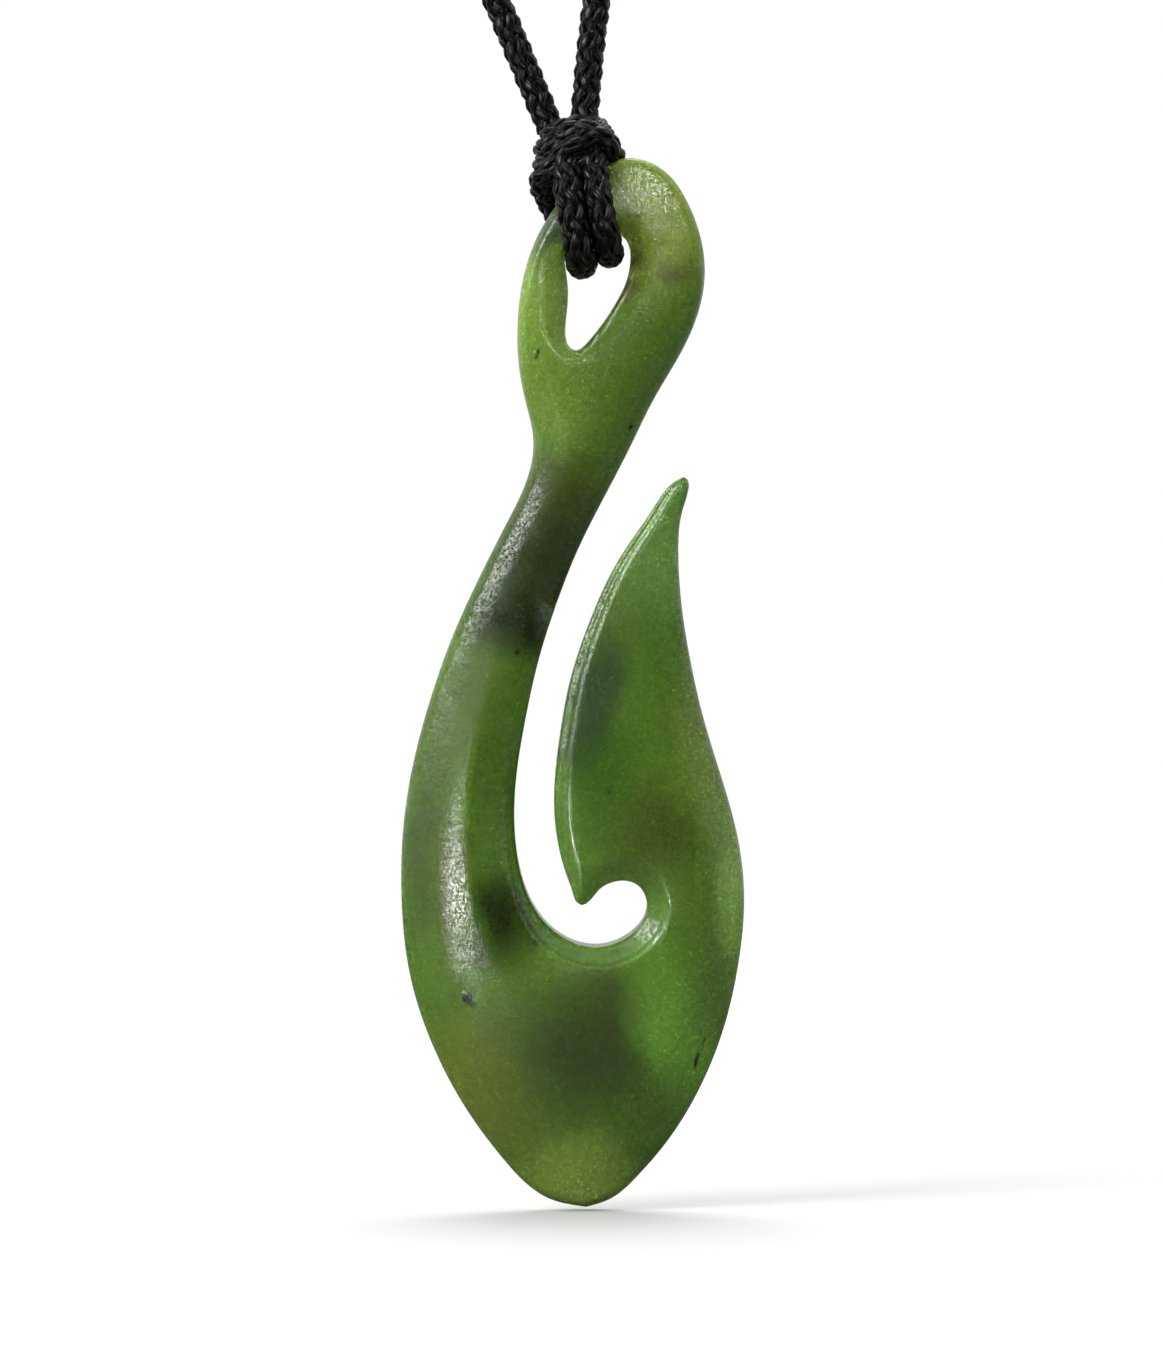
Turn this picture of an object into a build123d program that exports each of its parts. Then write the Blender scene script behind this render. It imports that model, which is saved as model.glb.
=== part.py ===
from build123d import *
import math
import os

import numpy as np
from scipy.spatial import Delaunay

# Carved stone hook on a braided cord, worn as a necklace. Millimetres, +Z up, +X to the right seen from
# the front, +Y towards the wearer's back. The origin is at the nape, in the middle of the closing knot.
# The stone, its loops and the tie knot are drawn with Z = 0 at the bottom tip of the hook and Y = 0 in its
# middle plane, and are then hung below the neck cords.

# The stone
HOOK_HEIGHT = 70.0          # bottom tip to the top of the head
HOOK_WIDTH = 22.9           # across the belly, the widest place
BELLY_THICKNESS = 6.4       # the thickest place, front to back
OUTER_EDGE = 1.2            # wall that the rounding leaves along the outer edge
INNER_EDGE = 2.4            # wall that the bevel leaves along the slot, the bend and the eye
ROUND_WIDTH = 4.8           # how far in the rounding of the outer edge reaches
SHOULDER_WIDTH = 3.2        # from the bevel to the crown that runs beside it
BEVEL_WIDTH = 1.6           # widest bevel, at the bottom of the bend
BEVEL_DEPTH = 0.9           # how far the bevel falls
EYE_WIDTH = 4.5
EYE_HEIGHT = 7.7
EYE_TO_TOP = 5.1            # top of the eye to the top of the head
EYE_ACROSS = 0.470          # left side of the eye, as a share of the width of the hook

# The cord
CORD_DIAMETER = 2.0
CORD_GAP = 0.08             # between turns that lie side by side
SEAT_GAP = 0.3              # between the stone and the cord that carries it
SWING_GAP = 0.45            # between the head and the tie knot above it
SOCKET_GAP = 0.1            # round a cord where it goes into a knot
SOCKET_DEPTH = 0.9          # how far it goes in
SEAT_SHARE = 0.7            # how much of a loop's width the stone bears on

# The tie knot and the closing knot
KNOT_TURN = 2.1             # thickness of one turn of the tie knot
KNOT_WIDTH = 6.5
KNOT_HEIGHT = 4.6
KNOT_CORE = 2.9             # height of the filled middle
KNOT_TILT = 18.0            # degrees that its turns rise to the right
KNOT_ACROSS = 0.513         # middle of the knot, as a share of the width of the hook
KNOT_RISE = 0.5             # middle of the knot above the top of the head
LOOP_LEAN = 0.7             # how far the front of each loop leans left, from the eye up to the knot
BACK_LEAN = 1.5             # the same at the back
LEG_FAN = 0.15              # how far the two loops' legs part, each, on the way up
LEG_SPREAD = 2.6            # middle plane to a leg where it goes into the knot
LEG_ELBOW = 0.62            # share of a leg's height at which it turns in towards the knot
LEG_DEPTH = 1.6             # knot's middle down to the ends of the legs
CLOSING_LENGTH = 9.0
CLOSING_DIAMETER = 5.0
CLOSING_ROUND = 1.6         # rounding of its two ends

# Outline from the bottom tip up the left side, over the head, down the right of the neck and the shank,
# round the bend and the notch to the barb. Columns: share of the width from the left, share of the height
# from the tip, share of the widest bevel (0 on the rounded outer edge).
BODY_EDGE = [
    (0.540, 0.000, 0.0), (0.431, 0.008, 0.0), (0.297, 0.046, 0.0), (0.172, 0.103, 0.0), (0.085, 0.160, 0.0),
    (0.029, 0.217, 0.0), (0.002, 0.290, 0.0), (0.009, 0.370, 0.0), (0.038, 0.427, 0.0), (0.085, 0.484, 0.0),
    (0.146, 0.541, 0.0), (0.224, 0.598, 0.0), (0.312, 0.655, 0.0), (0.370, 0.697, 0.0), (0.386, 0.732, 0.0),
    (0.366, 0.765, 0.0), (0.345, 0.800, 0.0), (0.340, 0.838, 0.0), (0.352, 0.878, 0.0), (0.390, 0.920, 0.0),
    (0.465, 0.960, 0.0), (0.565, 0.990, 0.0), (0.665, 1.000, 0.0), (0.765, 0.988, 0.0), (0.838, 0.955, 0.0),
    (0.878, 0.915, 0.0), (0.882, 0.880, 0.0), (0.862, 0.850, 0.0), (0.815, 0.815, 0.0), (0.735, 0.770, 0.0),
    (0.676, 0.731, 0.0), (0.612, 0.690, 0.25), (0.501, 0.617, 0.25), (0.417, 0.541, 0.25),
    (0.362, 0.465, 0.3), (0.332, 0.395, 0.35), (0.341, 0.331, 0.45), (0.376, 0.293, 0.6),
    (0.450, 0.262, 0.85), (0.571, 0.248, 1.0), (0.660, 0.258, 1.0), (0.714, 0.282, 0.9), (0.712, 0.298, 0.85),
    (0.685, 0.310, 0.8), (0.646, 0.3135, 0.7), (0.6125, 0.3117, 0.6), (0.5795, 0.3058, 0.5),
    (0.553, 0.2957, 0.4), (0.5397, 0.2918, 0.4)]
# Left edge of the blade, from the barb up to its point.
BLADE_INNER_EDGE = [
    (0.5265, 0.2905, 0.4), (0.5133, 0.2929, 0.4), (0.500, 0.3026, 0.45), (0.4815, 0.3199, 0.5),
    (0.457, 0.350, 0.5), (0.446, 0.389, 0.5), (0.461, 0.446, 0.5), (0.493, 0.503, 0.5), (0.551, 0.560, 0.5),
    (0.633, 0.617, 0.45), (0.735, 0.667, 0.4), (0.7984, 0.6924, 0.3), (0.8218, 0.6968, 0.3)]
# Right edge of the blade, from its point down to the bottom tip.
BLADE_OUTER_EDGE = [
    (0.8345, 0.6925, 0.0), (0.819, 0.670, 0.0), (0.808, 0.627, 0.0), (0.816, 0.579, 0.0), (0.843, 0.522, 0.0),
    (0.883, 0.465, 0.0), (0.936, 0.408, 0.0), (0.983, 0.350, 0.0), (1.000, 0.293, 0.0), (0.985, 0.236, 0.0),
    (0.948, 0.179, 0.0), (0.883, 0.122, 0.0), (0.781, 0.065, 0.0), (0.682, 0.027, 0.0), (0.612, 0.008, 0.0),
    (0.540, 0.000, 0.0)]
# The eye, from its bottom up the right side. Columns: share of its width, share of its height, bevel.
EYE_EDGE = [
    (0.194, 0.000, 0.6), (0.395, 0.083, 0.4), (0.628, 0.257, 0.3), (0.814, 0.430, 0.3), (0.953, 0.604, 0.3),
    (1.000, 0.735, 0.3), (1.000, 0.870, 0.3), (0.910, 0.975, 0.3), (0.710, 1.000, 0.3), (0.430, 0.960, 0.4),
    (0.170, 0.910, 0.5), (0.025, 0.820, 0.6), (0.000, 0.700, 0.6), (0.010, 0.430, 0.6), (0.035, 0.170, 0.6),
    (0.090, 0.040, 0.6)]
# Thickness on the crown. Columns: share of the height, share of the belly's thickness.
SHANK_CROWN = [(0.00, 0.56), (0.10, 0.80), (0.20, 0.95), (0.28, 1.00), (0.34, 0.98), (0.40, 0.92),
               (0.45, 0.85), (0.50, 0.79), (0.56, 0.75), (0.64, 0.74), (0.72, 0.74), (0.84, 0.76),
               (0.94, 0.75), (1.00, 0.66)]
BLADE_CROWN = [(0.24, 0.98), (0.34, 0.90), (0.45, 0.76), (0.56, 0.57), (0.70, 0.31)]
# Middle of the slot between the shank and the blade. Columns: share of the height, share of the width.
SLOT_MIDDLE = [(0.24, 0.40), (0.30, 0.43), (0.37, 0.39), (0.48, 0.42), (0.56, 0.49), (0.64, 0.60), (0.72, 0.74)]
# Turns of the tie knot, top one first. Columns: shares of the knot's width to the right of its middle, of
# its height above its middle, and of its width for the turn's own width.
KNOT_TURNS = [(-0.05, 0.27, 0.70), (-0.02, 0.00, 0.92), (0.00, -0.27, 1.00)]

# Facets of the stone
FACET_STEP = 1.35           # spacing of the facet corners over the faces
EDGE_STEP = 0.85            # spacing of the corners along the outline
EYE_STEP = 0.5              # the same round the eye
EDGE_SAMPLES = 240          # points on each stretch of outline for measuring distances
RIDGE_SOFTNESS = 0.3        # how softly the faces meet at the ridge

# Route of each neck cord from the tie knot round to the nape.
LEFT_ROUTE = [
    (-1.75, -117.5, -157.3), (-5.9, -115.8, -147.4), (-12.6, -110.4, -131.8), (-23.0, -100.0, -111.3),
    (-34.5, -85.0, -89.3), (-46.0, -69.5, -67.3), (-55.0, -53.5, -46.3), (-59.0, -37.5, -28.3),
    (-55.5, -22.5, -15.3), (-45.0, -10.5, -6.8), (-30.5, -2.8, -2.0), (-15.5, 0.0, -0.2), (-3.6, 0.0, 0.0)]
RIGHT_ROUTE = [
    (0.45, -118.5, -157.3), (1.15, -117.0, -146.9), (5.2, -111.4, -131.1), (15.0, -100.4, -110.8),
    (28.2, -85.4, -89.8), (42.0, -69.7, -68.3), (53.3, -53.5, -46.8), (58.6, -37.5, -28.3),
    (55.5, -22.5, -15.3), (45.0, -10.5, -6.8), (30.5, -2.8, -2.0), (15.5, 0.0, -0.2), (3.6, 0.0, 0.0)]
ARC_SHARE = 0.45            # how much of the shorter run each arc takes up
HANG_PLANE = (LEFT_ROUTE[0][1] + RIGHT_ROUTE[0][1]) / 2    # Y of the middle plane of the stone


def across(share):
    """X of a share of the hook's width, with the middle of the tie knot at X = 0."""
    return (share - KNOT_ACROSS) * HOOK_WIDTH


def place_on_hook(row):
    return (across(row[0]), row[1] * HOOK_HEIGHT)


def place_in_eye(row):
    bottom = HOOK_HEIGHT - EYE_TO_TOP - EYE_HEIGHT
    return (across(EYE_ACROSS) + row[0] * EYE_WIDTH, bottom + row[1] * EYE_HEIGHT)


def evenly(points, step):
    """Points at even distances along a chain of points, both ends among them."""
    run = np.concatenate([[0.0], np.cumsum(np.hypot(*np.diff(points, axis=0).T))])
    stops = np.linspace(0.0, run[-1], max(3, round(run[-1] / step)) + 1)
    return np.column_stack([np.interp(stops, run, points[:, 0]), np.interp(stops, run, points[:, 1])])


class Edging:
    """One stretch of outline: points along it, and the width of the bevel at each of them."""

    def __init__(self, rows, place, closed=False):
        spots = [place(row) for row in rows]
        curve = Spline(spots, periodic=closed)
        if closed:
            spots = spots + spots[:1]
            rows = rows + rows[:1]
        steps = [math.dist(a, b) for a, b in zip(spots, spots[1:])]
        shares = np.concatenate([[0.0], np.cumsum(steps)]) / sum(steps)
        along = np.linspace(0.0, 1.0, EDGE_SAMPLES)
        self.points = np.array([(p.X, p.Y) for p in (curve.position_at(u) for u in along)])
        self.bevel = np.interp(along, shares, [row[2] for row in rows]) * BEVEL_WIDTH


BODY = Edging(BODY_EDGE, place_on_hook)
BLADE_INNER = Edging(BLADE_INNER_EDGE, place_on_hook)
BLADE_OUTER = Edging(BLADE_OUTER_EDGE, place_on_hook)
EYE = Edging(EYE_EDGE, place_in_eye, closed=True)
HOOK_RING = np.vstack([BODY.points, BLADE_INNER.points, BLADE_OUTER.points[:-1]])


def inside(points, ring):
    """Which points lie inside a closed ring."""
    found = np.zeros(len(points), dtype=bool)
    for (x0, z0), (x1, z1) in zip(ring, np.roll(ring, -1, axis=0)):
        if z0 == z1:
            continue
        spans = (z0 > points[:, 1]) != (z1 > points[:, 1])
        crossing = x0 + (points[:, 1] - z0) * (x1 - x0) / (z1 - z0)
        found ^= spans & (points[:, 0] < crossing)
    return found


def nearest(points, targets):
    """Distance from each point to the nearest target, and which target that is."""
    gaps = np.hypot(points[:, None, 0] - targets[None, :, 0], points[:, None, 1] - targets[None, :, 1])
    which = gaps.argmin(axis=1)
    return gaps[np.arange(len(points)), which], which


def crown(points):
    """Half the thickness on the crown at each point."""
    up = points[:, 1] / HOOK_HEIGHT
    shank = np.interp(up, *zip(*SHANK_CROWN))
    blade = np.interp(up, *zip(*BLADE_CROWN))
    middle = across(np.interp(up, *zip(*SLOT_MIDDLE)))
    on_blade = (points[:, 0] > middle) & (up > BLADE_CROWN[0][0]) & (up < SLOT_MIDDLE[-1][0])
    return np.where(on_blade, blade, shank) * BELLY_THICKNESS / 2


def half_thickness(points):
    """Half the thickness at points of the stone: rounded outer edge, bevelled inner edges, soft ridge."""
    edgings = [BODY, BLADE_INNER, BLADE_OUTER, EYE]
    edge = np.vstack([edging.points for edging in edgings])
    bevels = np.concatenate([edging.bevel for edging in edgings])
    from_outer, _ = nearest(points, edge[bevels == 0.0])
    from_inner, which = nearest(points, edge[bevels > 0.0])
    bevel = bevels[bevels > 0.0][which]
    top = crown(points)
    outer_wall = np.minimum(OUTER_EDGE / 2, top)
    reach = np.minimum(from_outer / ROUND_WIDTH, 1.0)
    rounded = outer_wall + (top - outer_wall) * (1.0 - (1.0 - reach) ** 2)
    rim = np.minimum(INNER_EDGE / 2 + BEVEL_DEPTH * np.minimum(from_inner / bevel, 1.0), top)
    rise = np.clip((from_inner - bevel) / SHOULDER_WIDTH, 0.0, 1.0)
    bevelled = rim + (top - rim) * (1.0 - (1.0 - rise) ** 2)
    mix = np.clip(0.5 + 0.5 * (bevelled - rounded) / RIDGE_SOFTNESS, 0.0, 1.0)
    return bevelled + (rounded - bevelled) * mix - RIDGE_SOFTNESS / 2 * mix * (1.0 - mix)


def on_stone(points, clearance):
    """The points that lie on the stone, more than a clearance from every edge."""
    kept = points[inside(points, HOOK_RING) & ~inside(points, EYE.points)]
    gap, _ = nearest(kept, np.vstack([HOOK_RING, EYE.points]))
    return kept[gap > clearance]


def beside(ring, amount):
    """A ring's points moved sideways by an amount."""
    along = np.roll(ring, -1, axis=0) - np.roll(ring, 1, axis=0)
    sideways = np.column_stack([along[:, 1], -along[:, 0]])
    return ring + sideways * amount / np.hypot(*along.T)[:, None]


def face_corners(rings):
    """Corners of the facets: the outline, a row beside it, and an even net over the rest."""
    left, bottom = HOOK_RING.min(axis=0)
    right, top = HOOK_RING.max(axis=0)
    net = [(x + FACET_STEP / 2 * (row % 2), z)
           for row, z in enumerate(np.arange(bottom, top, FACET_STEP * math.sqrt(0.75)))
           for x in np.arange(left, right, FACET_STEP)]
    rows_beside = np.vstack([beside(ring, side * EDGE_STEP) for ring in rings for side in (1, -1)])
    return np.vstack(rings + [on_stone(rows_beside, 0.85 * EDGE_STEP),
                              on_stone(np.array(net), EDGE_STEP + FACET_STEP / 3)])


def facet(*corners):
    return Face(Wire.make_polygon([Vector(*corner) for corner in corners]))


def hook_stone():
    """The carved stone: two faceted faces, alike front and back, and a wall round each edge."""
    stretches = [BODY.points, BLADE_INNER.points, BLADE_OUTER.points]
    outline = np.vstack([evenly(points, EDGE_STEP) for points in stretches])[:-1]
    eye = evenly(EYE.points, EYE_STEP)[:-1]
    corners = face_corners([outline, eye])
    triangles = Delaunay(corners).simplices
    middles = corners[triangles].mean(axis=1)
    triangles = triangles[inside(middles, outline) & ~inside(middles, eye)]
    half = half_thickness(corners)
    front = [(x, -y, z) for (x, z), y in zip(corners, half)]
    back = [(x, y, z) for (x, z), y in zip(corners, half)]
    facets = []
    for a, b, c in triangles:
        facets.append(facet(front[a], front[b], front[c]))
        facets.append(facet(back[c], back[b], back[a]))
    for start, count in ((0, len(outline)), (len(outline), len(eye))):
        for i in range(count):
            a = start + i
            b = start + (i + 1) % count
            facets.append(facet(front[a], front[b], back[b], back[a]))
    return Solid(Shell(facets))


def edge_height(ring, x, middle, upper):
    """Height of the upper or lower edge of a ring above one X, among its points above a middle height."""
    part = ring[(ring[:, 1] > middle) == upper]
    return float(part[nearest(np.array([[x, middle]]) * [1, 0], part * [1, 0])[1][0], 1])


EYE_MIDDLE = HOOK_HEIGHT - EYE_TO_TOP - EYE_HEIGHT / 2
LOOP_ACROSS = across(EYE_ACROSS) + EYE_WIDTH / 2
LEG_DISTANCE = float(crown(np.array([[LOOP_ACROSS, EYE_MIDDLE]]))[0]) + SEAT_GAP + CORD_DIAMETER / 2


def bar_top(x):
    """Top of the bar of stone between the eye and the top of the head, above one X."""
    return edge_height(HOOK_RING, x, EYE_MIDDLE, True)


def bar_bottom(x):
    return edge_height(EYE.points, x, EYE_MIDDLE, True)


def seat_height(x):
    """Height of a loop's middle where it passes through the eye, just clear of the stone above it."""
    reach = CORD_DIAMETER / 2 + SEAT_GAP
    bearing = abs(EYE.points[:, 0] - x) < SEAT_SHARE * CORD_DIAMETER / 2
    above = EYE.points[(EYE.points[:, 1] > bar_bottom(x) - CORD_DIAMETER / 2) & bearing]
    return float((above[:, 1] - np.sqrt(reach ** 2 - (above[:, 0] - x) ** 2)).min())


def tube(path, diameter):
    """A round cord along a path."""
    return sweep(Plane(path @ 0, z_dir=path % 0) * Circle(diameter / 2), path=path)


def arcs_for(points):
    """Radius of the arc at each inner point of a route, as large as its two runs allow."""
    radii = []
    for a, b, c in zip(points, points[1:], points[2:]):
        before = Vector(*b) - Vector(*a)
        after = Vector(*c) - Vector(*b)
        half_turn = math.radians(before.get_angle(after)) / 2
        radii.append(ARC_SHARE * min(before.length, after.length) / math.tan(half_turn))
    return radii


def loop_path(side):
    """Middle of one turn through the eye, down the front and up the back. side is -1 on the left, 1 right."""
    x = LOOP_ACROSS + side * (CORD_DIAMETER + CORD_GAP) / 2
    knot_end = HOOK_HEIGHT + KNOT_RISE - LEG_DEPTH
    low = seat_height(x)
    elbow = low + LEG_ELBOW * (knot_end - low)
    fan = side * LEG_FAN
    points = [(x - LOOP_LEAN + fan, -LEG_SPREAD, knot_end), (x - LOOP_LEAN / 2 + fan / 2, -LEG_DISTANCE, elbow),
              (x, -LEG_DISTANCE, low), (x, LEG_DISTANCE, low),
              (x - BACK_LEAN / 2 + fan / 2, LEG_DISTANCE, elbow), (x - BACK_LEAN + fan, LEG_SPREAD, knot_end)]
    return FilletPolyline(*points, radius=arcs_for(points))


def eye_loop(side):
    return tube(loop_path(side), CORD_DIAMETER)


def knot_place():
    """Middle of the tie knot, from the bottom tip of the hook."""
    return (0.0, HOOK_HEIGHT + KNOT_RISE)


def hanging():
    """Where the hook's own drawing goes, so that the tie knot meets the ends of the neck cords."""
    top = HOOK_HEIGHT + KNOT_RISE + KNOT_HEIGHT / 2 - SOCKET_DEPTH
    return Pos(0.0, HANG_PLANE, LEFT_ROUTE[0][2] - top)


def tie_knot():
    """Three turns round the legs of the loops, with room for the legs, the neck cords and the stone."""
    x0, z0 = knot_place()
    tilt = Rot(0.0, -KNOT_TILT, 0.0)
    knot = Pos(x0, 0.0, z0) * tilt * Cylinder(KNOT_WIDTH / 2 - KNOT_TURN / 2, KNOT_CORE)
    for right, up, width in KNOT_TURNS:
        turn = Torus(width * KNOT_WIDTH / 2 - KNOT_TURN / 2, KNOT_TURN / 2)
        knot += Pos(x0 + right * KNOT_WIDTH, 0.0, z0 + up * KNOT_HEIGHT) * tilt * turn
    for side in (-1, 1):
        knot -= tube(loop_path(side), CORD_DIAMETER + 2 * SOCKET_GAP)
    start, end = LOOP_ACROSS - EYE_WIDTH / 2, LOOP_ACROSS + EYE_WIDTH / 2
    rise = (bar_top(end) + bar_bottom(end) - bar_top(start) - bar_bottom(start)) / 2
    middle = (bar_top(LOOP_ACROSS) + bar_bottom(LOOP_ACROSS)) / 2
    saddle = Cylinder((bar_top(LOOP_ACROSS) - bar_bottom(LOOP_ACROSS)) / 2 + SWING_GAP, 3 * KNOT_WIDTH)
    slope = math.degrees(math.atan2(rise, end - start))
    knot -= Pos(LOOP_ACROSS, 0.0, middle) * Rot(0.0, 90.0 - slope, 0.0) * saddle
    knot = hanging() * knot
    for route in (LEFT_ROUTE, RIGHT_ROUTE):
        knot -= tube(Line(*route[:2]), CORD_DIAMETER + 2 * SOCKET_GAP)
    return knot


def neck_cord(route):
    radii = arcs_for(route)
    path = FilletPolyline(*route, radius=radii)
    cord = tube(path, CORD_DIAMETER)
    section = math.pi * CORD_DIAMETER ** 2 / 4
    print("neck cord length", round(path.length, 1), "radii", [round(radius, 1) for radius in radii])
    print("volume over section times length", round(cord.volume / (section * path.length), 4))
    return cord


def closing_knot():
    """The hidden closure at the nape, one plain barrel with both cords going in."""
    barrel = Rot(0.0, 90.0, 0.0) * Cylinder(CLOSING_DIAMETER / 2, CLOSING_LENGTH)
    barrel = fillet(barrel.edges().filter_by(GeomType.CIRCLE), CLOSING_ROUND)
    for route in (LEFT_ROUTE, RIGHT_ROUTE):
        inner_end = Vector(*route[-1])
        barrel -= tube(Line(inner_end, Vector(*route[-2])), CORD_DIAMETER + 2 * SOCKET_GAP)
    return barrel


def main():
    os.makedirs("parts", exist_ok=True)
    place = hanging()
    parts = {
        "hook_stone": place * hook_stone(),
        "eye_loop_left": place * eye_loop(-1),
        "eye_loop_right": place * eye_loop(1),
        "tie_knot": tie_knot(),
        "neck_cord_left": neck_cord(LEFT_ROUTE),
        "neck_cord_right": neck_cord(RIGHT_ROUTE),
        "closing_knot": closing_knot(),
    }
    pivot = place * Pos(LOOP_ACROSS, 0.0, (bar_top(LOOP_ACROSS) + bar_bottom(LOOP_ACROSS)) / 2)
    print("swing axis through", pivot.position)
    for name, shape in parts.items():
        export_step(shape, f"parts/{name}.step")


main()
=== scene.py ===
import math

import bpy
import numpy as np
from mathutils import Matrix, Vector
from mathutils.geometry import delaunay_2d_cdt
from mathutils.kdtree import KDTree


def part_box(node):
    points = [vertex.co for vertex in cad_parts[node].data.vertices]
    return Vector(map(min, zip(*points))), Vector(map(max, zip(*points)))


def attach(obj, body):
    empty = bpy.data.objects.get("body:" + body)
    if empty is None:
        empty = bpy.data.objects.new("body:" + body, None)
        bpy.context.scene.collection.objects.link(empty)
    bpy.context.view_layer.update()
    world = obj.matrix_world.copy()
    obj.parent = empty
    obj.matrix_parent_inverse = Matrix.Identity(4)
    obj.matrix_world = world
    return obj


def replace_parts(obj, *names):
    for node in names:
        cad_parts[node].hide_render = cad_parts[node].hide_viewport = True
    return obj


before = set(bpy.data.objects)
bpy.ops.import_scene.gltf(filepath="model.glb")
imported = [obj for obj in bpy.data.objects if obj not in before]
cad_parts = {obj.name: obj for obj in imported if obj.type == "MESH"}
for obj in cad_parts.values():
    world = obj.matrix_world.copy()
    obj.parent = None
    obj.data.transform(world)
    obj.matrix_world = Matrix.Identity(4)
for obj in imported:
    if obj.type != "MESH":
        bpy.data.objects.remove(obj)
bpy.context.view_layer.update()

# Carved stone hook hanging on a braided cord. The frame is in metres; shapes here are worked out in
# millimetres and turned to metres where a mesh is made. The hook has its own drawing, with X across and Z
# up from its bottom tip, laid in the middle plane of the stone.
MM = 0.001
stone_low, stone_high = (Vector(corner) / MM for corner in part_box("hook_stone"))
knot_low, knot_high = (Vector(corner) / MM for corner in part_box("tie_knot"))
left_loop_low, left_loop_high = (Vector(corner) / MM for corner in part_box("eye_loop_left"))
right_loop_low, right_loop_high = (Vector(corner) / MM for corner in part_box("eye_loop_right"))

HOOK_LEFT = stone_low.x
HOOK_WIDTH = stone_high.x - stone_low.x
HOOK_HEIGHT = stone_high.z - stone_low.z
HOOK_TIP = stone_low.z
MIDDLE_PLANE = (stone_low.y + stone_high.y) / 2
BELLY_THICKNESS = stone_high.y - stone_low.y

# Stone, in millimetres
RIM_ROLL = 0.45             # radius of the rims of the rounded edges
DOME_REACH = 5.0            # half the distance over which the dome flattens out
DOME_PASSES = 26            # how often the dome is evened out over the mesh
WALL_LIMIT = 0.7            # most of half the thickness that the flat wall takes
BEVEL_WIDTH = 1.3           # width that the bevels' shares are taken of; the bend has the widest, 0.8 of it
BEVEL_SLOPE = 0.6           # fall per millimetre of a bevel of that width; narrower ones are flatter
BEVEL_ROLL = 0.12           # radius where a bevel meets the wall of the slot
FACET_SOFT = 0.35           # how widely the ridge of the long facet is softened
THIN_EDGE = 0.3             # half the thickness that the bevels leave at least
EYE_WIDTH = 4.5
EYE_HEIGHT = 7.7
EYE_TO_TOP = 5.1            # from the top of the eye to the top of the head
EYE_ACROSS = 0.470          # left side of the eye, as a share of the hook's width

# Rounded edges. Columns: share of the width from the left, share of the height from the tip, half the
# height of the flat wall in millimetres.
BODY_OUTER_EDGE = [
    (0.540, 0.000, 0.25), (0.431, 0.008, 0.25), (0.297, 0.046, 0.25), (0.172, 0.103, 0.25),
    (0.085, 0.160, 0.25), (0.029, 0.217, 0.25), (0.002, 0.290, 0.25), (0.009, 0.370, 0.25),
    (0.038, 0.427, 0.25), (0.085, 0.484, 0.25), (0.146, 0.541, 0.25), (0.224, 0.598, 0.25),
    (0.312, 0.655, 0.25), (0.370, 0.697, 0.25), (0.386, 0.732, 0.25), (0.366, 0.765, 0.25),
    (0.345, 0.800, 0.60), (0.340, 0.838, 1.00), (0.352, 0.878, 1.00), (0.390, 0.920, 0.80),
    (0.465, 0.960, 0.50), (0.565, 0.990, 1.10), (0.665, 1.000, 1.55), (0.765, 0.988, 1.60),
    (0.838, 0.955, 1.60), (0.878, 0.915, 1.40), (0.882, 0.880, 1.00), (0.862, 0.850, 0.60),
    (0.815, 0.815, 0.30), (0.735, 0.770, 0.25), (0.676, 0.731, 0.30), (0.612, 0.690, 0.50),
    (0.501, 0.617, 0.95), (0.452, 0.575, 1.05)]
BLADE_OUTER_EDGE = [
    (0.8345, 0.6943, 0.25), (0.8388, 0.6895, 0.25), (0.8365, 0.6838, 0.25), (0.8310, 0.6765, 0.25),
    (0.8205, 0.6655, 0.25), (0.808, 0.627, 0.25), (0.816, 0.579, 0.25), (0.843, 0.522, 0.25),
    (0.883, 0.465, 0.25), (0.936, 0.408, 0.25), (0.983, 0.350, 0.25), (1.000, 0.293, 0.25),
    (0.985, 0.236, 0.25), (0.948, 0.179, 0.25), (0.883, 0.122, 0.25), (0.781, 0.065, 0.25),
    (0.682, 0.027, 0.25), (0.612, 0.008, 0.25), (0.540, 0.000, 0.25)]
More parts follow.
